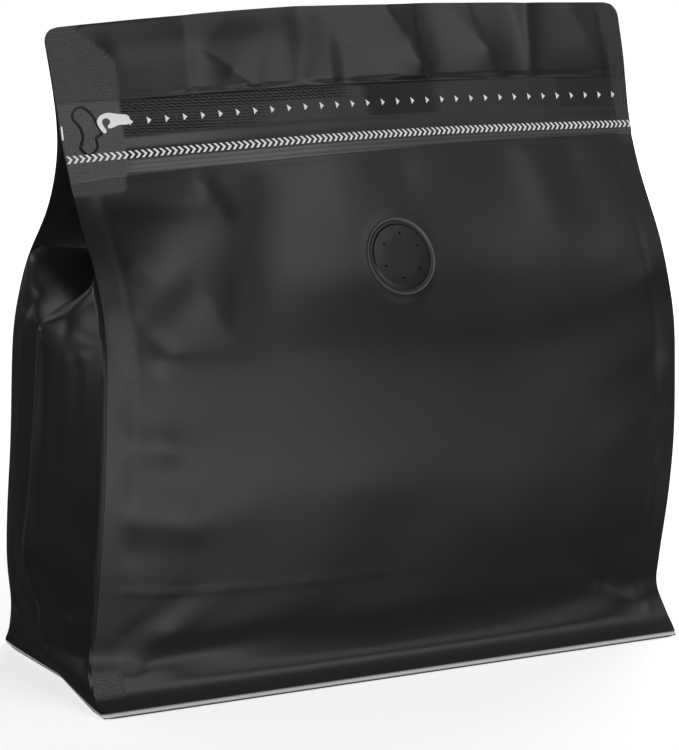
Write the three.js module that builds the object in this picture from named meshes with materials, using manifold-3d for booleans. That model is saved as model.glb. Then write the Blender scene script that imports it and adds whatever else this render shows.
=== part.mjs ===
// A filled coffee bag with a degassing valve: a flat-bottomed pouch of matt film with side gussets,
// a pull-tab zip across its front and a flap above the zip. It stands on its bottom seal.
// Millimetres, +Z up, the front faces -Y, the origin is under the middle of the bag.
import * as THREE from "three";
import { mergeVertices } from "three/addons/utils/BufferGeometryUtils.js";
import Module from "manifold-3d";

const wasm = await Module();
wasm.setup();

// ---------- Driving dimensions ----------
const WIDTH = 195.7; // between the side seals
const HEIGHT = 200; // at the ends of the top edge
const GUSSET_HALF = 43.8; // side gusset, from a seal to its middle crease
const CORNER_RADIUS = 4.6; // die-cut corners of the flap and of the bottom seal
const SEAL_EDGE = 0.8; // half the thickness of the closed flap
const SKIRT_WALL = 1.6; // bottom seal, seen from below
const SKIRT_RECESS = 3; // how far up the groove behind it goes
const SKIRT_GROOVE = 7; // from the seal's edge in to the top of the groove
const SKIRT_LEDGE = 13; // and to where the sagging bottom film meets the ground again

// The side seals seen from the side: height, half depth, lean to the back, inset from half the width.
const SEALS = [
  [0, 43.8, 0, -1.7],
  [6, 37.4, 0.9, -1.3],
  [14, 35.2, 3.6, -0.2],
  [25, 39.5, 5.0, 0.7],
  [45, 40.7, 1.9, 0.6],
  [70, 40.8, -1.7, 1.1],
  [100, 40.4, -2.6, 1.9],
  [125, 32.2, -4.7, 2.9],
  [145, 13.7, -8.7, 2.3],
  [160, 4.3, -9.2, 1.8],
  [172, 0.9, -8.2, 1.2],
  [HEIGHT, 0.8, 0.8, 0.3],
];
// How far each panel's middle stands proud of its seals, by height. At the top the back follows the front.
const FRONT_BULGE = [
  [0, 0], [8, 0.3], [25, 4], [45, 7.5], [70, 9.5], [90, 9.2], [105, 8.2],
  [118, 8.6], [131, 10.6], [147, 13.5], [160, 12.8], [174, 9], [188, 5], [HEIGHT, 3],
];
const BACK_BULGE = [
  [0, 0], [8, 0.4], [25, 4.5], [45, 9.7], [70, 12], [100, 11], [131, 9.5],
  [147, 8.5], [160, 5.5], [174, 1], [188, -3.6], [HEIGHT, -3],
];
const PEAK_X = [[90, 0], [131, -16], [160, -18]]; // the bulge's crest moves off the middle
const FULLNESS = [[60, 2.4], [131, 1.7], [160, 1.5]]; // exponent of the bulge: low is a roof, high a box
const CROWN = [[60, 0], [110, 1], [163, 3.8], [HEIGHT, 3.4]]; // how far the film rises in the middle

// The gusset's middle crease below its fold: height, distance outside the seals.
const CREASE_OUT = [[0, -4.2], [8, 1], [22, 3], [32, 6], [42, 8.6], [59, 7.6], [85, 6.6], [110, 6]];
const PILLOW = [[0, 0], [14, 0.5], [42, 2.6], [85, 3.2], [125, 2.4]]; // each gusset half swells by this
const FOLD_LOW = 110.5; // the fold starts here on the crease
const FOLD_HIGH = 125; // and reaches the seals here
const FOLD_SOFT = 4; // radius of the folded edge
const FOLD_SHUT = [157, 169]; // the folded gusset closes between these heights
const EDGE_ROUND = 0.3; // the closed edge of the flap is this much rounded

// Dents of the flap: place along X, half width, depth to the back (to the front if negative).
const FLUTES = [[-62, 9, 1.3], [-38, 13, -1.1], [-8, 15, 0.9], [21, 9, -1.2], [47, 12, 1.1], [66, 8, -1.2]];
const FLUTE_RISE = [179, 194]; // they deepen between these heights

// Zip strip and its pull tab
// Its lower and upper edge by place along X: it was fed in slightly askew.
const ZIP_BOTTOM = [[-95, 155.7], [-70, 156.9], [-14, 157.7], [23, 158.3], [83, 159.2]];
const ZIP_TOP = [[-97, 178.4], [-69, 177.6], [-20, 177.2], [50, 177]];
const ZIP_EDGE = 0.5; // width of its thin edges
const ZIP_END_INSET = 1.2;
const GAP = 0.35; // between the strip and the film, along Y
const STRIP = 0.7; // thickness between the ribs
const RIB = 0.55; // what a rib adds
const KERF = 0.45; // width of the die-cut line round the tab
// Ribs of the strip: middle and half width, as shares of its height.
const RIBS = [[0.09, 0.035], [0.19, 0.03], [0.46, 0.04], [0.92, 0.045]];
// The tab's outline in X and Z, clockwise from the top of its upper lobe; the fourth point is the spur
// where the tear starts.
const TAB_OUTLINE = [
  [-89.6, 177.2], [-86.9, 175.0], [-85.4, 171.8], [-84.4, 168.9], [-86.2, 167.4], [-86.3, 164.9],
  [-89.4, 162.7], [-91.9, 165.2], [-90.8, 168.3], [-91.2, 170.9], [-93.1, 173.9], [-92.3, 176.4],
];

// Valve
const VALVE_Z = 129.8; // height before the film's rise
const VALVE_X = -1.8;
const VALVE_OUT = [0.15, -0.92, 0.36]; // the way it faces
const VALVE_FLAT = [12.5, 27]; // it holds the film flat within the first radius, and less up to the second
const VALVE_RADIUS = 11.9;
const VALVE_SEAT = 0.8; // depth of its seat in the film
const VALVE_RIM = 1.1; // width of the raised rim
const VALVE_RIM_UP = 0.6; // how far the rim stands out of the film
const VALVE_CAP = 0.77; // radius of the raised cap in the middle, as a share
const VALVE_CAP_UP = 1.1; // how far the cap stands out
const PINHOLE_RADIUS = 0.45;
const PINHOLE_DEPTH = 0.6;
const PINHOLE_RING = 6.9;
const PINHOLES = 6;

// Mesh steps
const FRONT_STEPS = 26;
const GUSSET_STEPS = 14;
const LEVELS = [
  0, 0.6, 1.6, 3, 4.6, 6.5, 9, 12, 16, 20.5, 26, 32, 37, 42, 51, 60, 69, 78, 87, 96, 103, 108, 111,
  114, 117, 120, 123, 126, 130, 135, 140, 145, 150, 155, 158.5, 162, 165.5, 169, 173, 177, 181,
  185, 189, 193, 196, 198, 199.3, HEIGHT,
];

// ---------- Curves ----------
// A smooth curve through [place, value] knots that never overshoots them.
function through(knots, column = 1) {
  const xs = knots.map((k) => k[0]);
  const ys = knots.map((k) => k[column]);
  const slope = xs.slice(1).map((x, i) => (ys[i + 1] - ys[i]) / (x - xs[i]));
  const tangent = xs.map((_, i) => {
    if (i === 0) return slope[0];
    if (i === xs.length - 1) return slope[i - 1];
    const [a, b] = [slope[i - 1], slope[i]];
    return a * b <= 0 ? 0 : (2 * a * b) / (a + b);
  });
  return (x) => {
    if (x <= xs[0]) return ys[0];
    if (x >= xs[xs.length - 1]) return ys[ys.length - 1];
    const i = xs.findIndex((right, k) => k > 0 && x <= right) - 1;
    const h = xs[i + 1] - xs[i];
    const t = (x - xs[i]) / h;
    const [t2, t3] = [t * t, t * t * t];
    const ends = (2 * t3 - 3 * t2 + 1) * ys[i] + (3 * t2 - 2 * t3) * ys[i + 1];
    return ends + h * ((t3 - 2 * t2 + t) * tangent[i] + (t3 - t2) * tangent[i + 1]);
  };
}

const halfDepth = through(SEALS, 1);
const lean = through(SEALS, 2);
const inset = through(SEALS, 3);
const frontBulge = through(FRONT_BULGE);
const backBulge = through(BACK_BULGE);
const peakX = through(PEAK_X);
const fullness = through(FULLNESS);
const crown = through(CROWN);
const creaseOut = through(CREASE_OUT);
const pillow = through(PILLOW);
const zipBottom = through(ZIP_BOTTOM);
const zipTop = through(ZIP_TOP);

const ramp = (x, a, b) => THREE.MathUtils.smoothstep(x, a, b);
const softMin = (a, b, r) => {
  const h = Math.max(r - Math.abs(a - b), 0) / r;
  return Math.min(a, b) - (h * h * r) / 4;
};

// ---------- The film ----------
// How far a die-cut corner takes the edge back, at a height above or below the corner's start.
const cornerCut = (into) => CORNER_RADIUS - Math.sqrt(Math.max(CORNER_RADIUS ** 2 - into ** 2, 0));

function halfWidth(z) {
  const top = cornerCut(Math.max(z - (HEIGHT - CORNER_RADIUS), 0));
  return WIDTH / 2 - inset(z) - top;
}

// 0 at the seals and 1 on the crest of a panel.
function swell(x, z) {
  const crest = peakX(z);
  const reach = halfWidth(z) + (x < crest ? crest : -crest);
  return 1 - Math.min(Math.abs(x - crest) / reach, 1) ** fullness(z);
}

function flutes(x, z) {
  const sum = FLUTES.reduce((y, [at, w, deep]) => y + deep * Math.exp(-(((x - at) / w) ** 2)), 0);
  return sum * ramp(z, ...FLUTE_RISE) * ramp(WIDTH / 2 - Math.abs(x), 2, 20);
}

const slackY = (x, z) => lean(z) - halfDepth(z) - frontBulge(z) * swell(x, z) + flutes(x, z);
const backY = (x, z) => lean(z) + halfDepth(z) + backBulge(z) * swell(x, z) + flutes(x, z);
const riseZ = (x, z) => z + crown(z) * swell(x, z);
const valveAt = new THREE.Vector3(VALVE_X, slackY(VALVE_X, VALVE_Z), riseZ(VALVE_X, VALVE_Z));
const valveOut = new THREE.Vector3(...VALVE_OUT).normalize();

// The front film, drawn to the plane of the valve near it.
function frontY(x, z) {
  const slack = slackY(x, z);
  const [dx, dz] = [x - valveAt.x, riseZ(x, z) - valveAt.z];
  const plane = valveAt.y - (valveOut.x * dx + valveOut.z * dz) / valveOut.y;
  return THREE.MathUtils.lerp(plane, slack, ramp(Math.hypot(dx, dz), ...VALVE_FLAT));
}

// How far the gusset stands outside the seals; across is -1 at the front seal and 1 at the back one.
function gussetOut(across, z) {
  const a = Math.abs(across);
  const h = halfDepth(z);
  const outside = creaseOut(z) * (1 - a) + pillow(z) * 4 * a * (1 - a);
  if (z < FOLD_LOW - 2 * FOLD_SOFT) return outside;
  const closed = Math.sqrt(Math.max(GUSSET_HALF ** 2 - h * h, 0));
  const atHigh = Math.sqrt(GUSSET_HALF ** 2 - halfDepth(FOLD_HIGH) ** 2);
  const start = -creaseOut(FOLD_LOW);
  const t = (z - FOLD_LOW) / (FOLD_HIGH - FOLD_LOW);
  const deep = t < 1 ? start + (atHigh - start) * t : closed;
  const reach = t < 1 ? atHigh / halfDepth(FOLD_HIGH) : closed / h;
  const folded = (reach * a * h - deep) * (1 - ramp(z, ...FOLD_SHUT));
  const round = EDGE_ROUND * (1 - a * a);
  return Math.min(softMin(outside, folded, FOLD_SOFT), t < 1 ? outside : 0) + round;
}

// One level of the film as a closed loop, anticlockwise seen from above, from the front left seal.
function loopAt(level) {
  const w = halfWidth(level);
  const edge = SEAL_EDGE / 2;
  const cut = level < CORNER_RADIUS ? cornerCut(CORNER_RADIUS - level) : 0;
  // A corner of the bottom seal: points within the cut slide round a quarter circle.
  const rounded = (x, y, middle, side) => {
    const into = cut - (w - Math.abs(x));
    if (cut <= 0 || into <= 0) return [x, y];
    const turn = Math.min(into / cut, 1) * (Math.PI / 4);
    return [Math.sign(x) * (w - cut + cut * Math.sin(turn)), y - side * cut * (1 - Math.cos(turn))];
  };
  const loop = [];
  const panel = (surface, side) => {
    for (let i = 0; i <= FRONT_STEPS; i++) {
      const x = side * (1 - (2 * i) / FRONT_STEPS) * w;
      const [px, py] = rounded(x, surface(x, level), lean(level), side);
      loop.push([px, py, riseZ(x, level)]);
    }
  };
  const gusset = (side) => {
    const [from, to] = [lean(level) - halfDepth(level) + edge, lean(level) + halfDepth(level) - edge];
    for (let i = 1; i < GUSSET_STEPS; i++) {
      const across = side * ((2 * i) / GUSSET_STEPS - 1);
      const out = gussetOut(across, level);
      const pull = cut * (1 - Math.SQRT1_2);
      const y = from + ((across + 1) / 2) * (to - from);
      const nearCorner = Math.max(Math.abs(across) - 0.8, 0) / 0.2;
      loop.push([side * (w + out - pull * nearCorner), y, level]);
    }
  };
  panel(frontY, -1);
  gusset(1);
  panel(backY, 1);
  gusset(-1);
  return loop;
}

// ---------- Solids ----------
function solidFrom(positions, triangles) {
  const geometry = new THREE.BufferGeometry();
  geometry.setAttribute("position", new THREE.Float32BufferAttribute(positions.flat(), 3));
  geometry.setIndex(triangles.flat());
  return solidOf(geometry);
}

function solidOf(geometry) {
  const bare = geometry.clone();
  bare.deleteAttribute("normal");
  bare.deleteAttribute("uv");
  const merged = mergeVertices(bare, 1e-4);
  const mesh = new wasm.Mesh({
    numProp: 3,
    vertProperties: merged.attributes.position.array,
    triVerts: new Uint32Array(merged.index.array),
  });
  return new wasm.Manifold(mesh);
}

function meshOf(name, solid, color, roughness) {
  const { numProp, vertProperties, triVerts } = solid.getMesh();
  const geometry = new THREE.BufferGeometry();
  const buffer = new THREE.InterleavedBuffer(vertProperties, numProp);
  geometry.setAttribute("position", new THREE.InterleavedBufferAttribute(buffer, 3, 0));
  geometry.setIndex(new THREE.BufferAttribute(triVerts, 1));
  const plain = geometry.toNonIndexed();
  plain.computeVertexNormals();
  const mesh = new THREE.Mesh(plain, new THREE.MeshStandardMaterial({ color, roughness, metalness: 0 }));
  mesh.name = name;
  return mesh;
}

// Joins rings of equal length into a tube wall; each ring is a list of [x, y, z].
function wall(rings, positions, triangles) {
  const n = rings[0].length;
  const base = positions.length;
  rings.forEach((ring) => positions.push(...ring));
  for (let r = 0; r + 1 < rings.length; r++) {
    for (let i = 0; i < n; i++) {
      const [a, b] = [base + r * n + i, base + r * n + ((i + 1) % n)];
      triangles.push([a, b, b + n], [a, b + n, a + n]);
    }
  }
  return base;
}

function bagFilm() {
  const rings = LEVELS.map(loopAt);
  const outer = rings[0];
  // From below: the seal's edge, the groove behind it and the sagging bottom film.
  const [w, h] = [halfWidth(0), halfDepth(0)];
  const drawnIn = (by, z) => outer.map(([x, y]) => [x * (1 - by / w), y * (1 - by / h), z]);
  const below = [drawnIn(SKIRT_LEDGE, 0), drawnIn(SKIRT_GROOVE, SKIRT_RECESS), drawnIn(SKIRT_WALL, 0)];
  const positions = [];
  const triangles = [];
  wall([...below, ...rings], positions, triangles);
  const n = outer.length;
  const centre = positions.push([0, 0, 0]) - 1;
  for (let i = 0; i < n; i++) triangles.push([centre, (i + 1) % n, i]);
  closeTop(positions.length - 1 - n, n, triangles);
  return solidFrom(positions, triangles);
}

// The top edge: a strip between the front and the back film, and a fan over each gusset's end.
function closeTop(base, n, triangles) {
  const front = (i) => base + i;
  const back = (i) => base + 2 * FRONT_STEPS + GUSSET_STEPS - i;
  for (let i = 0; i < FRONT_STEPS; i++) {
    triangles.push([front(i), front(i + 1), back(i + 1)], [front(i), back(i + 1), back(i)]);
  }
  for (let i = FRONT_STEPS; i + 1 < FRONT_STEPS + GUSSET_STEPS; i++) {
    triangles.push([back(FRONT_STEPS), front(i), front(i + 1)]);
  }
  for (let i = 2 * FRONT_STEPS + GUSSET_STEPS; i + 1 < n; i++) {
    triangles.push([front(0), base + i, base + i + 1]);
  }
}

function valveFrame() {
  const turn = new THREE.Quaternion().setFromUnitVectors(new THREE.Vector3(0, 1, 0), valveOut);
  return new THREE.Matrix4().compose(valveAt, turn, new THREE.Vector3(1, 1, 1));
}

// The valve round its axis, which is Y here: a raised rim, a groove and a raised cap with pinholes.
function valve() {
  const [r, cap] = [VALVE_RADIUS, VALVE_RADIUS * VALVE_CAP];
  const profile = [
    [0, -VALVE_SEAT],
    [r, -VALVE_SEAT],
    [r, VALVE_RIM_UP / 2],
    [r - VALVE_RIM * 0.3, VALVE_RIM_UP],
    [r - VALVE_RIM * 0.7, VALVE_RIM_UP],
    [r - VALVE_RIM, 0],
    [cap + 0.8, 0],
    [cap, VALVE_CAP_UP * 0.7],
    [cap - 0.8, VALVE_CAP_UP * 0.9],
    [0, VALVE_CAP_UP],
  ].map(([x, y]) => new THREE.Vector2(x, y));
  let body = solidOf(new THREE.LatheGeometry(profile, 48));
  for (let i = 0; i < PINHOLES; i++) {
    const angle = (2 * Math.PI * i) / PINHOLES;
    const pit = new THREE.CylinderGeometry(PINHOLE_RADIUS, PINHOLE_RADIUS, 2 * PINHOLE_DEPTH, 10);
    pit.translate(PINHOLE_RING * Math.sin(angle), VALVE_CAP_UP, PINHOLE_RING * Math.cos(angle));
    body = body.subtract(solidOf(pit));
  }
  return body;
}

function placed(solid, matrix) {
  return solid.transform(Array.from(matrix.elements));
}

// A flat-bottomed seat in the film for the valve.
function valveSeat() {
  const height = 12;
  const seat = new THREE.CylinderGeometry(VALVE_RADIUS + GAP, VALVE_RADIUS + GAP, height, 48);
  seat.translate(0, height / 2 - VALVE_SEAT - GAP, 0);
  return solidOf(seat);
}

// The strip follows the front film, with its ribs running from end to end.
function zipStrip() {
  const edge = ZIP_EDGE / (zipTop(0) - zipBottom(0));
  const shares = [0, edge];
  RIBS.forEach(([at, half]) => shares.push(at - half, at - half / 2, at + half / 2, at + half));
  shares.push(1 - edge, 1);
  const thick = (share) => {
    const onRib = RIBS.some(([middle, half]) => Math.abs(share - middle) < half * 0.75);
    const rim = Math.min(share, 1 - share) < edge / 2;
    return rim ? STRIP * 0.6 : STRIP + (onRib ? RIB : 0);
  };
  const rings = [];
  for (let i = 0; i <= FRONT_STEPS; i++) {
    const along = 1 - (2 * i) / FRONT_STEPS;
    const at = (share, proud) => {
      const near = along * (WIDTH / 2);
      const z = THREE.MathUtils.lerp(zipBottom(near), zipTop(near), share);
      const x = along * (halfWidth(z) - ZIP_END_INSET);
      return [x, frontY(x, z) - proud, riseZ(x, z)];
    };
    const face = shares.map((share) => at(share, GAP + thick(share)));
    const hidden = shares.map((share) => at(share, GAP)).reverse();
    rings.push([...face, ...hidden]);
  }
  const positions = [];
  const triangles = [];
  wall(rings, positions, triangles);
  const n = rings[0].length;
  const last = positions.length - n;
  for (let k = 0; k + 1 < n / 2; k++) {
    const [a, b, c, d] = [k, k + 1, n - 2 - k, n - 1 - k];
    triangles.push([a, c, b], [a, d, c]);
    triangles.push([last + a, last + b, last + c], [last + a, last + c, last + d]);
  }
  return solidFrom(positions, triangles);
}

// The tab's outline moved inward by a distance, as a solid that reaches through the strip.
function tabCutter(inward) {
  const points = TAB_OUTLINE.map(([x, z]) => new THREE.Vector3(x, riseZ(x, z), 0));
  const spline = new THREE.CatmullRomCurve3(points, true, "centripetal").getPoints(48).slice(0, -1);
  const moved = spline.map((p, i) => {
    const [before, after] = [spline.at(i - 1), spline[(i + 1) % spline.length]];
    const along = new THREE.Vector2(after.x - before.x, after.y - before.y).normalize();
    return new THREE.Vector2(p.x + along.y * inward, p.y - along.x * inward);
  });
  const cutter = new THREE.ExtrudeGeometry(new THREE.Shape(moved), { depth: 30, bevelEnabled: false });
  cutter.rotateX(Math.PI / 2);
  cutter.translate(0, 5, 0);
  return solidOf(cutter);
}

// ---------- The object ----------
const BLACK_FILM = 0x2e2e2f;
const BLACK_STRIP = 0x39393a;
const BLACK_VALVE = 0x1d1d1e;

const strip = zipStrip();
const frame = valveFrame();
const bag = new THREE.Group();
bag.add(meshOf("bag_body", bagFilm().subtract(placed(valveSeat(), frame)), BLACK_FILM, 0.5));
bag.add(meshOf("zip_strip", strip.subtract(tabCutter(0)), BLACK_STRIP, 0.45));
bag.add(meshOf("pull_tab", strip.intersect(tabCutter(KERF)), BLACK_STRIP, 0.45));
bag.add(meshOf("degassing_valve", placed(valve(), frame), BLACK_VALVE, 0.4));

export default bag;
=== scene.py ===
import math

import bmesh
import bpy
import numpy as np
from mathutils import Matrix, Vector


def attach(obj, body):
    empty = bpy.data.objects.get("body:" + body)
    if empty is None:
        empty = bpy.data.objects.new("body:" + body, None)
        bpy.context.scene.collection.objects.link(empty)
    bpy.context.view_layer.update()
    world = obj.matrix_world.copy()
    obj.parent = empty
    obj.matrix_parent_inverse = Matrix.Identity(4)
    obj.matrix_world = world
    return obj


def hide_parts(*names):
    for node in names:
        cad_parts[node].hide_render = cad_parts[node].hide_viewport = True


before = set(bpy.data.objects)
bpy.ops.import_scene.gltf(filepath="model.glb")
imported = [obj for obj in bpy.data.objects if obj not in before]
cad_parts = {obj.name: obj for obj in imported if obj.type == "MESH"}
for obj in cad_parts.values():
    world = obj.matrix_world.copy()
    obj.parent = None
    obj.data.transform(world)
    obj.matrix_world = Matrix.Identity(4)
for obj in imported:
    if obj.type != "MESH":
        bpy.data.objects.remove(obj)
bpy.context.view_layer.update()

MM = 0.001

# ---------- Driving dimensions, as in the frame ----------
WIDTH = 195.7  # between the side seals
HEIGHT = 200.0  # at the ends of the top edge
GUSSET_HALF = 43.8  # side gusset, from a seal to its middle crease
CORNER_RADIUS = 4.6  # die-cut corners of the flap and of the bottom seal
SKIRT_WALL = 1.6  # bottom seal, seen from below
SKIRT_RECESS = 3.0  # how far up the groove behind it goes
SKIRT_GROOVE = 7.0  # from the seal's edge in to the top of the groove
SKIRT_LEDGE = 13.0  # and to where the sagging bottom film meets the ground again
CUT_EDGE = 0.5  # thickness of the welded films along a cut
SEAL_WIDTH = 7.5  # the flat heat seal along each upright edge
SEAL_GROOVE = 1.1  # how deep the gusset turns in right behind an upright edge

# Height, half depth, lean to the back, inset from half the width, of the side seals.
SEALS = [
    [0, 43.8, 0, -1.7],
    [6, 37.4, 0.9, -1.3],
    [14, 35.2, 3.6, -0.2],
    [25, 39.5, 5.0, 0.7],
    [45, 40.7, 1.9, 0.6],
    [70, 40.8, -1.7, 1.1],
    [100, 40.4, -2.6, 1.9],
    [125, 32.2, -4.7, 2.9],
    [145, 13.7, -8.7, 2.3],
    [160, 4.3, -9.2, 1.8],
    [172, 0.7, -8.4, 1.2],
    [HEIGHT, 0.4, 0.4, 0.3],
]
# How far the middle of a panel stands out of its side seals, by height. The front is flatter about the
# valve.
FRONT_BULGE = [
    [0, 0], [5.4, 0.2], [7.4, 1.0], [9.5, 2.9], [14, 6.8], [19, 8.2], [25, 8.5], [45, 9.5], [70, 10.4],
    [90, 9.6], [105, 7.9], [118, 6.9], [131, 7.6], [147, 12.7], [160, 13.2], [174, 9.1], [188, 5],
    [HEIGHT, 3],
]
BACK_BULGE = [
    [0, 0], [8, 0.4], [25, 4.5], [45, 9.7], [70, 12], [100, 11], [131, 9.5],
    [147, 8.5], [160, 5.5], [174, 1], [188, -3.6], [HEIGHT, -3],
]
# More of the film's shape by height: where across it a panel stands out most, how full it is there (the
# power of its curve), and how far its levels rise in the middle.
PEAK_X = [[90, 0], [131, -16], [160, -18]]
FULLNESS = [[60, 2.4], [131, 1.7], [160, 1.5]]
CROWN = [[60, 0], [110, 1], [163, 3.8], [HEIGHT, 3.4]]
# How far the gusset's middle crease stands outside the seals, and how far its halves swell between them.
CREASE_OUT = [[0, -4.2], [8, 1], [22, 3], [32, 6], [42, 8.6], [59, 7.6], [85, 6.6], [110, 6]]
PILLOW = [[0, 0], [14, 0.4], [42, 1.2], [85, 1.4], [125, 1.4]]
FOLD_APEX = 111.5  # where the gusset's middle crease starts to fold in
FOLD_EDGE = 132.0  # and where that fold reaches the side seals
FOLD_SOFT = 12.0  # the fold is rounded where its two sides lie closer than this
FOLD_ROUNDING = 7.0  # and the rounding sets in over this height
FOLD_SHUT = (157, 169)  # over these heights the folded gusset closes up
CREASE_PINCH = (0.8, 0.75)  # height and half width of the sharp crease down the gusset's middle
EDGE_ROUND = 0.3
BEHIND_SEAL = (0.9, 0.5)  # where the groove behind an upright edge lies, and its half width
SEAL_LINE = (0.12, 0.8)  # depth and half width of the faint groove where a side seal ends
SEAL_BLEND = (1.0, SEAL_WIDTH + 3)  # from this far inside the edge to this, creases grow to full height
WAVES = 14  # slow random waves of a filled film
WAVE_LENGTHS = (18, 60)
WAVE_STEEPNESS = 0.001

# Zip strip: its lower and upper edge by place along X
ZIP_BOTTOM = [[-95, 155.7], [-70, 156.9], [-14, 157.7], [23, 158.3], [83, 159.2]]
ZIP_TOP = [[-97, 178.4], [-69, 177.6], [-20, 177.2], [50, 177]]
ZIP_END = 0.15  # it stops this far from the bag's edge
ZIP_PROUD = 0.32  # thickness of the welded strip
ZIP_LIFT = 0.05  # of its hidden face over the film
ZIP_ROUND = 0.7  # how far its edges take to reach full thickness
ZIP_EDGE_SHARE = 0.35  # of that thickness, and of the ridge, is there at its very edges and ends
ZIP_HEIGHT = 22.0  # about its whole height
ZIP_MIDDLE = 166.0  # and the level of about its middle
ZIP_MESH = (0.55, 0.36)  # mesh steps across and up
TAB_MESH = (0.4, 0.36)
TAB_SPAN = (-96, -82)  # the tab's mesh before it is cut out
STRIP_CALM = 0.85  # share of the film's creases that the strip takes away
# Grooves in the film along the strip: how far outside it, half width, depth.
GROOVE_ABOVE = (0.8, 0.6, 0.3)
GROOVE_BELOW = (0.7, 0.6, 0.25)
KERF = 0.85  # width of the die-cut line round the tab
TAB_HOLLOW = 1.3  # the film lies this far behind the tab
TAB_HOLLOW_REACH = (5.5, 8.5)  # across and up
TAB_OUTLINE = [
    [-89.6, 177.2], [-86.9, 175.0], [-85.4, 171.8], [-84.4, 168.9], [-86.2, 167.4], [-86.3, 164.9],
    [-89.4, 162.7], [-91.9, 165.2], [-90.8, 168.3], [-91.2, 170.9], [-93.1, 173.9], [-92.3, 176.4],
]
# Fine ribs of the strip: level, half width, height.
RIBS = [[160.5, 0.55, 0.3], [159.1, 0.65, 0.4], [157.9, 0.4, 0.2]]
LOBES = [(-89.4, 173.8, 2.3), (-88.9, 165.7, 2.1)]  # domed ends of the tab: x, level, reach
LOBE_UP = 0.35
CUTTER_Y = (-30, 5)  # the prism that cuts the tab out reaches from here to here
TRACK = [161.9, 2.4, 0.45]  # the broad ridge of the zip's profiles behind the film
PLAIN_STRIP = [165.7, 1.7, 0.16]  # the smooth strip above it

# Print on the strip
INK = 0.07  # how far it stands out
EDGE_DASH = [(-96.4, 168.0), (-95.9, 168.1), (-95.9, 171.9), (-96.4, 171.8)]
ARROW_LEVEL, ARROW_PITCH, ARROW_FIRST, ARROW_LAST = 171.4, 5.378, -75.8, 96.3
ARROW_SIZE = (1.2, 2.0)  # length, height
CHEVRON_LEVEL, CHEVRON_PITCH, CHEVRON_FIRST, CHEVRON_LAST = 162.4, 1.78, -96.0, 94.9
CHEVRON_SIZE = (1.78, 2.1)
CHEVRON_STROKE = 0.76  # thickness of its strokes, along X

# A plain sign of a pinching hand, as an outline of x, level.
HAND_SIGN = [
    (-76.4, 173.2), (-79.4, 173.9), (-82.3, 174.5), (-84.7, 173.8), (-85.7, 172.2), (-85.2, 170.4),
    (-84.1, 168.9), (-83.3, 169.3), (-83.9, 170.8), (-84.3, 172.1), (-83.5, 173.0), (-82.3, 172.8),
    (-81.9, 171.7), (-82.8, 170.7), (-82.0, 170.1), (-79.4, 170.8), (-76.4, 170.9),
]

# The border of the waffle-sealed corner at the left of the zip: place along X by level.
WAFFLE_BORDER = [
    [152.2, -81.2], [159.4, -79.3], [167.7, -78.6], [179, -78.5], [187.9, -78.4], [193.7, -82.6],
    [198.9, -88.5],
]
WAFFLE_FADE = 0.4  # how soft that border is
FOOT_WAFFLE = 0.8  # share of the full emboss at the foot of the left seal
RIGHT_WAFFLE = 0.25  # and at the strip's right end

# Valve
VALVE_Z = 129.2  # its level, before the film's rise
VALVE_X = -0.5
VALVE_FLAT = (11.0, 14.0)  # it holds the film flat within the first radius, and less up to the second
VALVE_LEAN = (0.10, 55.0)  # how much the film round it turns to the right, and how far out
VALVE_RADIUS = 11.9
VALVE_RIM_UP = 0.6  # how far the rim stands out of the film
VALVE_CAP = 0.81  # radius of the raised cap, as a share
VALVE_CAP_UP = 0.7  # how far the cap stands out
VALVE_GROOVE = 0.08  # and the floor of the groove between them
VALVE_SIDES = 120
PINHOLE_RADIUS = 0.42
PINHOLE_RING = 6.9  # radius of the ring on which they lie
PINHOLE_DEPTH = 0.55
PINHOLE_SIDES = 14
PINHOLES = 6

# Pleats of the flap, with a sharp crest. Each row runs from x, level at its foot to x, level, then gives
# the reach of its left side and of its right side at both ends, and how far the crest stands out there.
FRONT_PLEATS = [
    (-57, 177.6, -54, 204, 6, 13, 2, 4.6, 0.7, 1.2),
    (-35, 177, -42.7, 183.1, 2.4, 3.4, 5, 9, 0.5, 1),
    (-42.7, 183.1, -50, 191, 3.4, 5, 9, 9, 1, 0),
    (-36.6, 178, -32.4, 190, 2, 4, 2, 4, 0.5, 0.2),
    (-10.9, 177.4, -9.3, 194, 4, 7, 1.4, 3.6, 0.7, 0.3),
    (19.5, 177, 20.6, 183.2, 7, 12, 1.6, 3.2, 0.7, 1.5),
    (20.6, 183.2, 18, 189.7, 12, 14, 3.2, 5, 1.5, 1.3),
    (18, 189.7, 12, 206, 14, 14, 5, 9, 1.3, 0.4),
    (47.8, 177.6, 45.9, 186.2, 5, 8, 2, 4, 0.5, 0.9),
    (45.9, 186.2, 36, 198, 8, 8, 4, 6, 0.9, 0.4),
    (60.4, 177, 63.4, 204, 1.4, 4, 1.2, 3.2, 0.5, 1.6),
    (60, 177.4, 57.4, 204, 4, 9, 0.8, 2, -0.1, -0.5),
    (89, 178, 79.5, 198, 6, 9, 4, 6, 0.4, 0.6),
]
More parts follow.
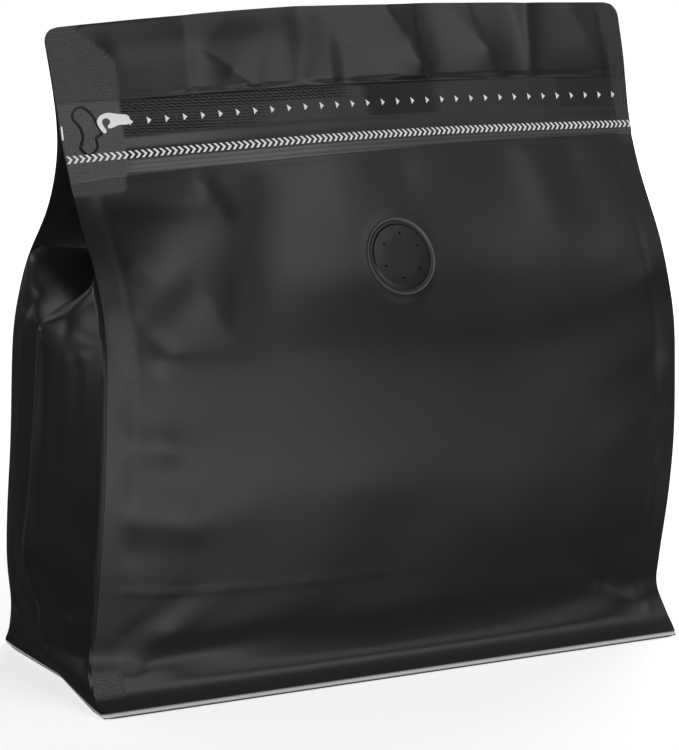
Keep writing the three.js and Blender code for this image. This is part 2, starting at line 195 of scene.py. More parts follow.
# Soft dents and swellings of the front panel. Each row is a stroke: from x, level to x, level, its half
# width at both ends and how far it stands out at both ends (in if negative).
FRONT_DENTS = [
    (-76, 190, -24, 191.5, 7.5, 7, 1.5, 1.2),
    (-21, 179.5, -16, 198, 3, 5.5, -0.5, -0.8),
    (-7, 179, -5, 188, 2, 2.8, -0.35, -0.4),
    (24, 180, 30, 204, 5, 9, -0.3, -1),
    # dents under the strip
    (-90, 150, -60, 148, 4.5, 5, -0.8, -1),
    (-57.5, 153, -54, 145.5, 2.2, 3, -0.6, -0.5),
    (-3, 153.5, 6.5, 151.5, 4, 5, -0.2, -0.3),
    (54, 156, 57, 144, 6, 8, 0.4, 0.4),
    (57, 144, 60, 126, 8, 10, 0.4, 0),
    (69, 153, 73, 138, 5.5, 8, -0.4, -0.3),
    # the hollow in the upper left, along its right side
    (-49, 148, -63, 123, 10, 12, -1, -1.6),
    (-63, 123, -83, 113.5, 12, 5, -1.6, -0.5),
    (-84, 133, -74, 126, 2.6, 4, 0.35, 0.1),
    (-56, 116, -54, 125, 3, 3, 0.25, 0.25),
    (-87.5, 118, -77.5, 107, 3, 4.4, 0.5, 0.5),
    (-77.5, 107, -70, 99, 4.4, 7, 0.5, 0),
    # puckers beside the left seal
    (-90, 91, -70, 89.5, 4.4, 7, -0.5, 0),
    (-89, 82.5, -78, 81.5, 3.2, 4.5, 0.45, 0.5),
    (-78, 81.5, -62, 77, 4.5, 7, 0.5, 0),
    (-89, 72.5, -62, 69.5, 4.2, 7, -0.5, -0.2),
    (-89, 60, -72, 57, 4.4, 6.5, 0.6, 0.6),
    (-72, 57, -48, 55, 6.5, 10, 0.6, 0),
    (-90, 49.5, -74, 45, 4.4, 7, -0.5, 0),
    # puckers beside the right seal
    (90, 92, 63, 84, 4, 8, -0.8, 0),
    (91, 77, 64, 70, 4, 7, 0.7, 0),
    (91, 62, 66, 57, 4, 7, -0.7, 0),
    (90, 118, 68, 110, 4, 9, 0.7, 0),
    # folds that rise from the bottom seal
    (-90, 11.5, -75.7, 21.5, 2.6, 4, 0.2, 0.5),
    (-75.7, 21.5, -58, 35, 4, 5, 0.5, 0.2),
    (-88, 22, -72, 34, 3, 4.4, -0.4, -0.35),
    (-80, 11, -25, 22, 3, 6, -0.9, -0.3),
    (-91, 9.8, -84, 9, 1.2, 1.4, -0.3, -0.3),
    (90, 8.5, 76, 19, 1.8, 3.8, -0.4, -0.7),
    (76, 19, 54, 38, 3.8, 8, -0.7, 0),
    (93, 7, 86, 7.6, 1.4, 2.2, 0.4, 0),
    # the crease where the empty bag's bottom was folded flat
    (-98, 37.2, -74, 35.2, 0.9, 0.9, 0.22, 0.22),
    (-74, 35.2, -33, 34.8, 0.9, 1.2, 0.2, 0.12),
    (-33, 34.8, 30, 34.8, 1.2, 2, 0.12, 0),
]
BACK_DENTS = [
    (-88, 96, -62, 88, 4.5, 8, 0.9, 0),
    (-88, 78, -60, 76, 4.5, 8, -0.8, 0),
    (-88, 58, -64, 62, 4.5, 8, 0.8, 0),
    (88, 104, 66, 92, 4.5, 8, 0.9, 0),
    (88, 84, 60, 80, 4.5, 8, -0.9, 0),
    (88, 64, 66, 66, 4.5, 8, 0.8, 0),
    (-20, 160, -34, 132, 5, 9, -0.9, 0),
    (36, 162, 46, 134, 5, 9, 0.9, 0),
    (60, 162, 70, 138, 5, 9, -0.8, 0),
    (-90, 11.5, -54, 38, 2.4, 8, 0.9, 0),
    (90, 11.5, 56, 36, 2.4, 8, -0.9, 0),
    (98, 37.2, -30, 34.8, 0.8, 1.6, -0.28, 0),
]
# Folds of a gusset, alike in front and behind: from share of the way from its crease to a seal, height,
# to the same; widths in mm.
GUSSET_FOLDS = [
    (0, 114.5, 0.43, 123, 3.4, 4.6, 0.3, 0.5),
    (0.43, 123, 1, 133.5, 4.6, 4.4, 0.5, 0.4),
    (0.04, 111, 0.43, 114.5, 3, 4, -0.2, -0.5),
    (0.43, 114.5, 0.98, 124, 4, 4, -0.5, -0.4),
    (0.05, 17.5, 0.95, 27, 2.4, 3.2, 0.6, 0.8),
    (0.05, 11.5, 0.95, 14.5, 2.4, 3, -0.7, -1.3),
    (0.1, 104, 0.13, 46, 2.4, 2.4, -0.5, -0.5),
]
# Wrinkles of a gusset: from share across (-1 front seal, 1 back seal), height, to the same.
GUSSET_WRINKLES = [
    (-0.75, 107, -0.77, 66, 1.2, 1.6, 0.4, 0.2),
    (-0.69, 104, -0.72, 50, 1.2, 1.8, -0.35, -0.2),
    (-0.5, 104, -0.52, 56, 2.6, 3, 0.35, 0.1),
    (0.45, 104, 0.5, 50, 2.4, 3, 0.45, 0.1),
    (0.7, 106, 0.72, 60, 1.4, 2, -0.4, -0.1),
    (-0.53, 45, -0.62, 26, 1.6, 1.8, -0.5, -0.6),
    (-0.62, 26, -0.9, 17, 1.8, 1.2, -0.6, -0.4),
    (0.5, 42, 0.66, 24, 1.6, 1.8, -0.6, -0.5),
]

# The light cut edge of the bottom seal, whose lowest 0.3 mm is left dark as a painted contact shadow:
# height, how light it is there.
CUT_EDGE_AND_SHADOW_TONES = [[0, 0.05], [0.3, 0.1], [0.42, 1], [0.85, 1], [1.0, 0]]

# Mesh steps, and the angles in degrees from which an edge is shaded sharp
SHARP_FILM = 38
SHARP_CUT = 50
PANEL_COLUMNS = 180
GUSSET_CLOSE = [0, 0.009, 0.02, 0.036, 0.06, 0.1]  # places beside the crease, as shares of the way out
GUSSET_EVEN = 13  # even steps after those
EDGE_CLOSE = [0.9, 0.93, 0.955, 0.97, 0.98, 0.988, 0.994]  # and places beside a seal
# Levels of the film's rings: from, to, steps.
LEVEL_RUNS = [
    (0, 0.3, 2), (0.3, 0.42, 1), (0.42, 0.84, 2), (0.84, 9, 18), (9, 104, 72), (104, 136, 38),
    (136, 176, 38), (176, 195, 26), (195, HEIGHT, 10),
]
NEAR_CORNER = 0.8  # beyond this share across a gusset, its foot follows the seal's round corner
THINNEST = 0.55  # share of the half depth that a gusset keeps where the two films close up

# The underside, from its middle out: distance in from the seal's edge as shares of the half depth, then
# in millimetres, with the height.
UNDERSIDE_SHARES = (0.96, 0.8, 0.6, 0.45)
UNDERSIDE = [
    (SKIRT_LEDGE + 1.5, 0), (SKIRT_LEDGE - 1, 0.4), (SKIRT_GROOVE + 1.5, SKIRT_RECESS * 0.85),
    (SKIRT_GROOVE, SKIRT_RECESS), (SKIRT_GROOVE - 2, SKIRT_RECESS * 0.8), (SKIRT_WALL + 0.2, 0.3),
    (SKIRT_WALL, 0),
]


# ---------- Curves ----------
def through(knots, column=1):
    """A smooth curve through [place, value] knots that never overshoots them."""
    xs = np.array([knot[0] for knot in knots], float)
    ys = np.array([knot[column] for knot in knots], float)
    slope = np.diff(ys) / np.diff(xs)
    tangent = np.zeros(len(xs))
    tangent[0], tangent[-1] = slope[0], slope[-1]
    before, after = slope[:-1], slope[1:]
    agree = before * after > 0
    tangent[1:-1][agree] = 2 * before[agree] * after[agree] / (before[agree] + after[agree])

    def curve(x):
        x = np.clip(np.asarray(x, float), xs[0], xs[-1])
        i = np.clip(np.searchsorted(xs, x, side="right") - 1, 0, len(xs) - 2)
        h = xs[i + 1] - xs[i]
        t = (x - xs[i]) / h
        ends = (2 * t**3 - 3 * t**2 + 1) * ys[i] + (3 * t**2 - 2 * t**3) * ys[i + 1]
        return ends + h * ((t**3 - 2 * t**2 + t) * tangent[i] + (t**3 - t**2) * tangent[i + 1])

    return curve


def softened(curve, reach=8.0):
    """The curve over the height, averaged over a short stretch so that it bends evenly."""
    weights = {-1: 0.12, -0.6: 0.18, -0.2: 0.2, 0.2: 0.2, 0.6: 0.18, 1: 0.12}
    low_share, high_share = 0.22, 0.5

    def even(z):
        z = np.asarray(z, float)
        span = np.minimum(reach, np.minimum(z * low_share, (HEIGHT - z) * high_share))
        return sum(weight * curve(z + step * span) for step, weight in weights.items())

    return even


half_depth = softened(through(SEALS, 1))
lean = softened(through(SEALS, 2))
inset = softened(through(SEALS, 3))
front_bulge = softened(through(FRONT_BULGE))
back_bulge = softened(through(BACK_BULGE))
peak_x = softened(through(PEAK_X))
fullness = softened(through(FULLNESS))
crown = softened(through(CROWN))
crease_out = through(CREASE_OUT)
pillow = through(PILLOW)
zip_bottom = through(ZIP_BOTTOM)
zip_top = through(ZIP_TOP)
waffle_border = through(WAFFLE_BORDER)


def ramp(x, a, b):
    """0 up to a, 1 from b, and smooth between them."""
    t = np.clip((np.asarray(x, float) - a) / (b - a), 0, 1)
    return t * t * (3 - 2 * t)


def strokes(x, z, rows, scale_x=1.0):
    """The sum of soft strokes at x, z; scale_x turns a share across a gusset into millimetres."""
    total = np.zeros(np.broadcast(x, z).shape)
    for x0, z0, x1, z1, w0, w1, h0, h1 in rows:
        dx, dz = (x1 - x0) * scale_x, z1 - z0
        px, pz = (x - x0) * scale_x, z - z0
        t = np.clip((px * dx + pz * dz) / (dx * dx + dz * dz), 0, 1)
        away = np.hypot(px - t * dx, pz - t * dz)
        total = total + (h0 + (h1 - h0) * t) * np.exp(-((away / (w0 + (w1 - w0) * t)) ** 2))
    return total


def pleats(x, z, rows, round_over=0.9, turn_over=0.3):
    """The sum of creased folds at x, z; left and right are as seen from the foot towards the tip."""
    total = np.zeros(np.broadcast(x, z).shape)
    for x0, z0, x1, z1, left0, left1, right0, right1, h0, h1 in rows:
        dx, dz = x1 - x0, z1 - z0
        px, pz = x - x0, z - z0
        t = np.clip((px * dx + pz * dz) / (dx * dx + dz * dz), 0, 1)
        away = np.hypot(px - t * dx, pz - t * dz)
        on_right = ramp((px * dz - pz * dx) / math.hypot(dx, dz), -turn_over, turn_over)
        reach = left0 + (left1 - left0) * t
        reach = reach + (right0 + (right1 - right0) * t - reach) * on_right
        height = h0 + (h1 - h0) * t
        total = total + height * np.exp(-(np.sqrt(away**2 + round_over**2) - round_over) / reach)
    return total


def unevenness(x, z, seed):
    """Slow random waves of a filled film, the same each run."""
    draw = np.random.default_rng(seed)
    total = 0
    for _ in range(WAVES):
        angle, phase = draw.uniform(0, 2 * math.pi, 2)
        length = draw.uniform(*WAVE_LENGTHS)
        turn = 2 * math.pi / length
        along = x * math.cos(angle) + z * math.sin(angle)
        total = total + length * WAVE_STEEPNESS * np.sin(turn * along + phase)
    return total


# ---------- The film's surface ----------
def corner_cut(into):
    """How far a round corner stands back, this far into it."""
    return CORNER_RADIUS - np.sqrt(np.maximum(CORNER_RADIUS**2 - into**2, 0))


def half_width(z):
    return WIDTH / 2 - inset(z) - corner_cut(np.maximum(z - (HEIGHT - CORNER_RADIUS), 0))


def swell(x, z):
    """0 on the side seals and 1 where the panel stands out most."""
    crest = peak_x(z)
    reach = half_width(z) + np.where(x < crest, crest, -crest)
    return 1 - np.minimum(np.abs(x - crest) / reach, 1) ** fullness(z)


def rise_z(x, z):
    """The height of the film at a level, which rises in the middle of a panel."""
    return z + crown(z) * swell(x, z)


def free_of_seals(x, z):
    """0 on the heat seals along the upright edges and 1 where the film is free."""
    return ramp(half_width(z) - np.abs(x), *SEAL_BLEND)


def seal_line(x, z):
    """The faint groove where a side seal ends."""
    deep, wide = SEAL_LINE
    away = half_width(z) - np.abs(x) - SEAL_WIDTH
    return -deep * np.exp(-((away / wide) ** 2)) * ramp(z, 4, 12)


def front_relief(x, z):
    """How far creases and dents stand out of the smooth front, flat on the seals and under the strip."""
    relief = strokes(x, z, FRONT_DENTS) + pleats(x, z, FRONT_PLEATS) * ramp(z, 174, 179)
    relief = relief + unevenness(x, z, 3) * ramp(z, 6, 16)
    relief = relief * free_of_seals(x, z) * (1 - STRIP_CALM * on_strip(x, z)) + seal_line(x, z)
    for past_edge, (off, wide, deep) in ((z - zip_top(x), GROOVE_ABOVE), (zip_bottom(x) - z, GROOVE_BELOW)):
        relief = relief - deep * np.exp(-(((past_edge - off) / wide) ** 2))
    return relief


def about_valve(x, z):
    """The film's slight turn to the right round the valve."""
    slope, reach = VALVE_LEAN
    dx, dz = x - VALVE_X, z - VALVE_Z
    return slope * dx * np.exp(-(dx * dx + dz * dz) / reach**2)


def slack_y(x, z):
    """The front film as it would lie without the valve's flat seat."""
    smooth = lean(z) - half_depth(z) - front_bulge(z) * swell(x, z) + about_valve(x, z)
    return smooth - front_relief(x, z)


def on_strip(x, z):
    """1 under the zip strip, which keeps the film smooth, and 0 away from it."""
    return ramp(z, zip_bottom(x) - 3, zip_bottom(x)) * (1 - ramp(z, zip_top(x), zip_top(x) + 1.5))


def back_y(x, z):
    """The back film, which lies against the front one in the flap and shares its pleats."""
    gap = half_depth(z)
    relief = (strokes(x, z, BACK_DENTS) + unevenness(x, z, 8) * ramp(z, 6, 16)) * free_of_seals(x, z)
    relief = relief * ramp(gap, 1.5, 6) + seal_line(x, z) * ramp(gap, 3, 6)
    shared = front_relief(x, z) * ramp(z, 176, 184)
    return lean(z) + gap + back_bulge(z) * swell(x, z) + relief - shared


VALVE_AT = Vector((VALVE_X, float(slack_y(VALVE_X, VALVE_Z)), float(rise_z(VALVE_X, VALVE_Z))))


def film_normal(x, z, step=3.0):
    """The way the front film faces, measured over a few millimetres."""
    across = (slack_y(x + step, z) - slack_y(x - step, z)) / (2 * step)
    upward = (slack_y(x, z + step) - slack_y(x, z - step)) / (rise_z(x, z + step) - rise_z(x, z - step))
    return Vector((float(across), -1, float(upward))).normalized()


VALVE_NORMAL = film_normal(VALVE_X, VALVE_Z)


def front_y(x, z):
    """The front film, drawn to the plane of the valve near it."""
    dx, dz = x - VALVE_AT.x, rise_z(x, z) - VALVE_AT.z
    plane = VALVE_AT.y - (VALVE_NORMAL.x * dx + VALVE_NORMAL.z * dz) / VALVE_NORMAL.y
    share = ramp(np.hypot(dx, dz), *VALVE_FLAT)
    return plane + (slack_y(x, z) - plane) * share


def film_front_y(x, z):
    """The front film, which stands back behind the tab's die-cut lines."""
    centre_x, centre_z = np.mean(TAB_OUTLINE, 0)
    across, upward = TAB_HOLLOW_REACH
    off = np.sqrt(((x - centre_x) / across) ** 2 + ((z - centre_z) / upward) ** 2)
    return front_y(x, z) + np.minimum(TAB_HOLLOW, half_depth(z) * 0.9) * (1 - ramp(off, 0.85, 1.15))


def gusset_out(across, z):
    """How far the gusset stands outside the seals; across is -1 at the front seal and 1 at the back."""
    a = np.abs(across)
    h = half_depth(z)

    def outside(share):
        return crease_out(z) * (1 - share) + pillow(z) * 4 * share * (1 - share)

    high, wide = CREASE_PINCH
    relief = strokes(a, z, GUSSET_FOLDS, GUSSET_HALF) + strokes(across, z, GUSSET_WRINKLES, GUSSET_HALF)
    relief = (relief + unevenness(across * GUSSET_HALF, z, 5)) * ramp(1 - a, 0.03, 0.16)
    relief = relief + high * np.exp(-a * GUSSET_HALF / wide) * ramp(z, 14, 18)
    standing = outside(a) + relief * ramp(z, 2, 10)
    closed = np.sqrt(np.maximum(GUSSET_HALF**2 - h * h, 0))
    start = -crease_out(FOLD_APEX)
    depth = start + (closed - start) * ramp(z, FOLD_APEX, FOLD_EDGE)
    ridge = np.clip((z - FOLD_APEX) / (FOLD_EDGE - FOLD_APEX), 0.04, 1)
    folded = (outside(ridge) * (ridge < 1) + depth) * a / ridge - depth
    folded = folded * (1 - ramp(z, *FOLD_SHUT))
    near = np.maximum(FOLD_SOFT - np.abs(standing - folded), 0) / FOLD_SOFT
    rounded = near * near * FOLD_SOFT / 4
    rounded = rounded * ramp(1 - a, 0, 0.2) * ramp(z, FOLD_APEX, FOLD_APEX + FOLD_ROUNDING)
    soft = np.minimum(standing, folded) - rounded
    soft = np.where(ridge < 1, soft, np.minimum(soft, 0))
    out = np.where(z < FOLD_APEX, standing, soft) + EDGE_ROUND * (1 - a * a)
    groove_at, groove_wide = BEHIND_SEAL
    behind = ((1 - a) * h - groove_at) / groove_wide
    return out - SEAL_GROOVE * np.exp(-(behind**2)) * ramp(h, 2.5, 9) * ramp(z, 5, 14)


# ---------- Meshes ----------
def new_object(name, points, faces, sharp_deg=SHARP_FILM):
    """A mesh object from points in millimetres."""
    mesh = bpy.data.meshes.new(name)
    mesh.from_pydata((np.asarray(points, float) * MM).tolist(), [], faces)
    mesh.update()
    mesh.shade_smooth()
    mesh.set_sharp_from_angle(angle=math.radians(sharp_deg))
    obj = bpy.data.objects.new(name, mesh)
    bpy.context.scene.collection.objects.link(obj)
    return obj


def paint(obj, name, values):
    """Stores one number for each vertex, for the material to read."""
    layer = obj.data.attributes.new(name, "FLOAT", "POINT")
    layer.data.foreach_set("value", np.asarray(values, np.float32).ravel())


def dress(obj, material, slot, *nodes):
    obj.data.materials.clear()
    obj.data.materials.append(material)
    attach(obj, "root")
    if nodes:
        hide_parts(*nodes)
    return obj


def grid_faces(rows, columns, base=0, closed=False):
    """Quads over rows of points; closed joins each row's end to its start."""
    faces = []
    last = columns if closed else columns - 1
    for r in range(rows - 1):
        for c in range(last):
            a = base + r * columns + c
            b = base + r * columns + (c + 1) % columns
            faces.append((a, b, b + columns, a + columns))
    return faces


def gusset_shares():
    """Places across a gusset, close together beside its crease and behind the upright edges."""
    even = np.linspace(GUSSET_CLOSE[-1], EDGE_CLOSE[0], GUSSET_EVEN + 2)[1:-1]
    half = np.concatenate([GUSSET_CLOSE, even, EDGE_CLOSE])
    return np.concatenate([-half[:0:-1], half])


def film_rings():
    """The film's levels as closed loops, anticlockwise seen from above, from the front left edge."""
    z = np.unique(np.concatenate([np.linspace(a, b, n + 1) for a, b, n in LEVEL_RUNS]))[:, None]
    w, h, middle = half_width(z), half_depth(z), lean(z)
    cut = np.where(z < CORNER_RADIUS, corner_cut(np.maximum(CORNER_RADIUS - z, 0)), 0)

    def panel(surface, side):
        x = side * np.linspace(1, -1, PANEL_COLUMNS + 1)[None, :] * w
        y = surface(x, z)
        into = np.maximum(cut - (w - np.abs(x)), 0)
        turn = np.minimum(into / np.maximum(cut, 1e-6), 1) * (math.pi / 4)
        arc_x = np.sign(x) * (w - cut + cut * np.sin(turn))
        round_x = np.where(into > 0, arc_x, x)
        round_y = y - side * cut * (1 - np.cos(turn)) * (into > 0)
        return np.stack([round_x, round_y, rise_z(x, z)], -1)

    def gusset(side):
        across = side * gusset_shares()[None, :]
        low, high = middle - h + CUT_EDGE / 2, middle + h - CUT_EDGE / 2
        low, high = np.minimum(low, middle - h * THINNEST), np.maximum(high, middle + h * THINNEST)
        y = low + (across + 1) / 2 * (high - low)
        near_corner = np.maximum(np.abs(across) - NEAR_CORNER, 0) / (1 - NEAR_CORNER)
        x = side * (w + gusset_out(across, z) - cut * (1 - math.sqrt(0.5)) * near_corner)
        return np.stack([x, y, z + 0 * y], -1)

    return np.concatenate([panel(film_front_y, -1), gusset(1), panel(back_y, 1), gusset(-1)], 1), z[:, 0]


def bottom_rings(outer):
    """From below: the sagging bottom film, the groove behind the seal and the seal's edge."""
    w, h = float(half_width(0)), float(half_depth(0))

    def drawn_in(by, z):
        return np.stack([outer[:, 0] * (1 - by / w), outer[:, 1] * (1 - by / h), z + 0 * outer[:, 0]], -1)

    rings = [drawn_in(share * h, 0) for share in UNDERSIDE_SHARES]
    rings += [drawn_in(by, z) for by, z in UNDERSIDE]
    return np.array(rings)


def right_end(x):
    """1 where the side seal crosses the strip's right end."""
    return ramp(x, 90.4, 91.2)


def waffle_mask(x, z):
    """1 in the embossed corner seal at the left of the zip and in the patches along the seals."""
    corner = ramp(waffle_border(z) - x, -WAFFLE_FADE, WAFFLE_FADE) * ramp(z, 151.6, 152.6)
    patch = ramp(x, -95.5, -92.5) * (1 - ramp(x, -89, -86)) * ramp(z, 94, 106) * (1 - ramp(z, 113, 124))
    foot = FOOT_WAFFLE * (1 - ramp(x, -91, -89)) * ramp(z, 4, 5.5) * (1 - ramp(z, 10, 12))
    right = RIGHT_WAFFLE * right_end(x) * ramp(z, 156, 157)
    return np.clip(corner + patch + foot + right, 0, 1)


def top_faces(top, columns):
    """Closes the film along its top edge; top is the number of the top ring's first point."""
    panel, side = PANEL_COLUMNS, len(gusset_shares())

    def back(i):
        return top + 2 * panel + 1 + side - i

    faces = [(top + i, top + i + 1, back(i + 1), back(i)) for i in range(panel)]
    faces += [(back(panel), top + i, top + i + 1) for i in range(panel, panel + side)]
    faces += [(top, top + i, top + i + 1) for i in range(2 * panel + side + 1, columns - 1)]
    return faces


def build_film():
    rings, levels = film_rings()
    below = bottom_rings(rings[0])
    total_rows, columns = len(below) + len(rings), rings.shape[1]
    points = np.concatenate([below, rings]).reshape(-1, 3)
    centre = len(points)
    points = np.vstack([points, [[0, 0, 0]]])
    faces = grid_faces(total_rows, columns, closed=True)
    faces += [(centre, (i + 1) % columns, i) for i in range(columns)]
    faces += top_faces((total_rows - 1) * columns, columns)
    film = new_object("bag_film", points, faces)

    level = np.concatenate([np.zeros(len(below) * columns), np.repeat(levels, columns), [0]])
    column = np.concatenate([np.tile(np.arange(columns), total_rows), [0]])
    is_front = column <= PANEL_COLUMNS
    paint(film, "waffle", waffle_mask(points[:, 0], level) * is_front)
    paint(film, "cut_edge_over_shadow", np.interp(level, *np.transpose(CUT_EDGE_AND_SHADOW_TONES)))
    return dress(film, film_material(), "film", "bag_body")


# ---------- Zip strip, tab and print ----------
def strip_proud(x, z):
    """How far the strip's face stands out of the film."""
    inside = np.minimum(z - zip_bottom(x), zip_top(x) - z)
    body = ZIP_PROUD * (ZIP_EDGE_SHARE + (1 - ZIP_EDGE_SHARE) * ramp(inside, 0, ZIP_ROUND))
    free = ramp(x, -80, -77.5) * (1 - ramp(x, 89.5, 91))
    ridge_share = ZIP_EDGE_SHARE + (1 - ZIP_EDGE_SHARE) * free
    relief = 0
    for level, half, height in RIBS:
        relief = relief + height * np.exp(-(((z - level) / half) ** 2)) * free
    for level, half, height in (TRACK, PLAIN_STRIP):
        relief = relief + height * np.exp(-(np.abs((z - level) / half) ** 4)) * ridge_share
    for lobe_x, lobe_z, reach in LOBES:
        relief = relief + LOBE_UP * np.exp(-(((x - lobe_x) ** 2 + (z - lobe_z) ** 2) / reach**2) ** 2)
    return body + relief * ramp(inside, 0, 0.6)


def strip_point(x, z, lift=0.0):
    """A point of the strip's face, or this far out of it."""
    return np.stack([x, front_y(x, z) - strip_proud(x, z) - lift, rise_z(x, z)], -1)


def strip_solid(name, x_from, x_to, steps):
    """The strip between two places along X as a closed mesh, with steps across and up."""
    step_x, step_z = steps
    columns = int((x_to - x_from) / step_x) + 1
    rows = int(ZIP_HEIGHT / step_z) + 1
    x = np.linspace(x_from, x_to, columns)[None, :] + np.zeros((rows, 1))
    share = np.linspace(0, 1, rows)[:, None]
    z = zip_bottom(x) + share * (zip_top(x) - zip_bottom(x))
    limit = half_width(z) - ZIP_END
    x = np.clip(x, -limit, limit)
    face = strip_point(x, z).reshape(-1, 3)
    hidden = np.stack([x, front_y(x, z) - ZIP_LIFT, rise_z(x, z)], -1).reshape(-1, 3)
    n = rows * columns
    faces = grid_faces(rows, columns)
    faces += [tuple(n + i for i in reversed(quad)) for quad in grid_faces(rows, columns)]
    rim = list(range(columns))
    rim += [r * columns + columns - 1 for r in range(1, rows)]
    rim += [(rows - 1) * columns + c for c in range(columns - 2, -1, -1)]
    rim += [r * columns for r in range(rows - 2, 0, -1)]
    faces += [(a, a + n, b + n, b) for a, b in zip(rim, rim[1:] + rim[:1])]
    return new_object(name, np.vstack([face, hidden]), faces, SHARP_CUT)


def smooth_outline(knots, steps=5):
    """A closed smooth curve through the knots (Catmull-Rom)."""
    knots = np.array(knots, float)
    count = len(knots)
    points = []
    for i in range(count):
        a, b, c, d = (knots[(i + k) % count] for k in (-1, 0, 1, 2))
        for step in range(steps):
            t = step / steps
            points.append(0.5 * ((2 * b) + (c - a) * t + (2 * a - 5 * b + 4 * c - d) * t**2
                                 + (3 * b - a - 3 * c + d) * t**3))
    return np.array(points)


def tab_cutter(name, inward):
    """A prism through the strip with the tab's outline, moved inward by a distance."""
    line = smooth_outline(TAB_OUTLINE)
    along = np.roll(line, -1, 0) - np.roll(line, 1, 0)
    along /= np.linalg.norm(along, axis=1)[:, None]
    line = line + np.stack([along[:, 1], -along[:, 0]], -1) * inward
    z = rise_z(line[:, 0], line[:, 1])
    near, far = (np.stack([line[:, 0], 0 * z + y, z], -1) for y in CUTTER_Y)
    n = len(line)
    faces = [tuple(range(n))[::-1], tuple(range(n, 2 * n))]
    faces += [(i, (i + 1) % n, n + (i + 1) % n, n + i) for i in range(n)]
    cutter = new_object(name, np.vstack([near, far]), faces)
    flip_outward(cutter)
    return cutter


def flip_outward(obj):
    """Turns all faces of a closed mesh outward."""
    work = bmesh.new()
    work.from_mesh(obj.data)
    bmesh.ops.recalc_face_normals(work, faces=work.faces)
    work.to_mesh(obj.data)
    work.free()


def combine(obj, other, operation):
    """Cuts or keeps obj by another closed mesh, which is then removed."""
    modifier = obj.modifiers.new("cut", "BOOLEAN")
    modifier.object = other
    modifier.operation = operation
    modifier.solver = "MANIFOLD"
    bpy.context.view_layer.update()
    evaluated = obj.evaluated_get(bpy.context.evaluated_depsgraph_get())
    mesh = bpy.data.meshes.new_from_object(evaluated)
    obj.modifiers.clear()
    old = obj.data
    obj.data = mesh
    bpy.data.meshes.remove(old)
    bpy.data.objects.remove(other)
    mesh.shade_smooth()
    mesh.set_sharp_from_angle(angle=math.radians(SHARP_CUT))
    return obj


def rope_mask(x, z):
    """How strongly the strip's rope emboss shows, strongest along the top and fading to the right."""
    upper = ramp(z, 173.0, 173.8) * (1 - ramp(x, -14, -4))
    middle = 0.3 * (1 - ramp(z, 173.0, 173.8)) * (1 - ramp(x, -40, -30))
    lower = 0.7 * (1 - ramp(z, 170.0, 170.8)) * (1 - ramp(x, -56, -50))
    return upper + middle + lower


def strip_highlight_mask(x, z):
    """Where a highlight is painted on the strip: on its ribs, to half towards the right, and on the smooth
    strip's left part.
    """
    ribs = sum(np.exp(-(((z - level) / half) ** 2)) for level, half, _ in RIBS)
    smooth = ramp(z, 163.8, 164.6) * (1 - ramp(z, 166.6, 167.4)) * (1 - ramp(x, -70, -30))
    return np.clip(ribs * (1 - 0.5 * ramp(x, -60, 30)) + 0.7 * smooth, 0, 1)


def paint_strip(obj):
    """Where the strip carries the rope emboss, the fine upright hatch, the corner's waffle and a painted
    highlight.
    """
    co = np.array([vertex.co for vertex in obj.data.vertices]) / MM
    x, z = co[:, 0], co[:, 2] - crown(ZIP_MIDDLE) * swell(co[:, 0], np.full(len(co), ZIP_MIDDLE))
    waffle = ramp(waffle_border(z) - x, -WAFFLE_FADE, WAFFLE_FADE)
    embossed = ramp(z, 167.4, 168.0) * (1 - ramp(z, 176.6, 177.4))
    hatch = embossed * (ramp(x, -4, 2) * (1 - ramp(x, 20, 30)) + ramp(x, 66, 72))
    paint(obj, "waffle", np.clip(waffle + RIGHT_WAFFLE * right_end(x), 0, 1))
    paint(obj, "strip_highlight", strip_highlight_mask(x, z))
    paint(obj, "rope", rope_mask(x, z) * embossed * (1 - waffle))
    paint(obj, "hatch", hatch)


def build_strip():
    reach = WIDTH / 2
    cutter_out = tab_cutter("cut_out", 0)
    cutter_in = tab_cutter("cut_in", KERF)
    strip = combine(strip_solid("zip_band", -reach, reach, ZIP_MESH), cutter_out, "DIFFERENCE")
    tab = combine(strip_solid("tear_tab", *TAB_SPAN, TAB_MESH), cutter_in, "INTERSECT")
    for obj in (strip, tab):
        paint_strip(obj)
    dress(strip, strip_material(), "zip", "zip_strip")
    dress(tab, strip_material(), "zip", "pull_tab")


def print_piece(name, outlines):
    """Ink on the strip: each outline is a closed list of x, level, printed as a thin plate."""
    points, faces = [], []
    for outline in outlines:
        outline = np.array(outline, float)
        n, base = len(outline), len(points)
        for lift in (INK, -INK / 2):
            points.extend(strip_point(outline[:, 0], outline[:, 1], lift))
        faces.append(tuple(range(base, base + n)))
        faces.append(tuple(range(base + 2 * n - 1, base + n - 1, -1)))
        faces += [(base + i, base + n + i, base + n + (i + 1) % n, base + (i + 1) % n) for i in range(n)]
    return dress(new_object(name, points, faces), ink_material(), "zip")


def arrow(x, z):
    length, height = ARROW_SIZE
    return [(x - length / 2, z - height / 2), (x + length / 2, z), (x - length / 2, z + height / 2)]


def chevron(x, z):
    """The two strokes of one chevron, pointing right."""
    length, height = CHEVRON_SIZE
    half, thick = height / 2, CHEVRON_STROKE
    lower = [(x, z - half), (x + thick, z - half), (x + length, z), (x + length - thick, z)]
    upper = [(px, 2 * z - pz) for px, pz in reversed(lower)]
    return [lower, upper]


def build_print():
    count = int(round((ARROW_LAST - ARROW_FIRST) / ARROW_PITCH))
    arrows = [arrow(ARROW_FIRST + i * ARROW_PITCH, ARROW_LEVEL) for i in range(count)]
    print_piece("print_arrows", arrows + [EDGE_DASH])
    print_piece("print_hand", [smooth_outline(HAND_SIGN, 4)])
    count = int((CHEVRON_LAST - CHEVRON_FIRST) / CHEVRON_PITCH) + 1
    places = [CHEVRON_FIRST + i * CHEVRON_PITCH for i in range(count)]
    print_piece("print_chevrons", [part for x in places for part in chevron(x, CHEVRON_LEVEL)])


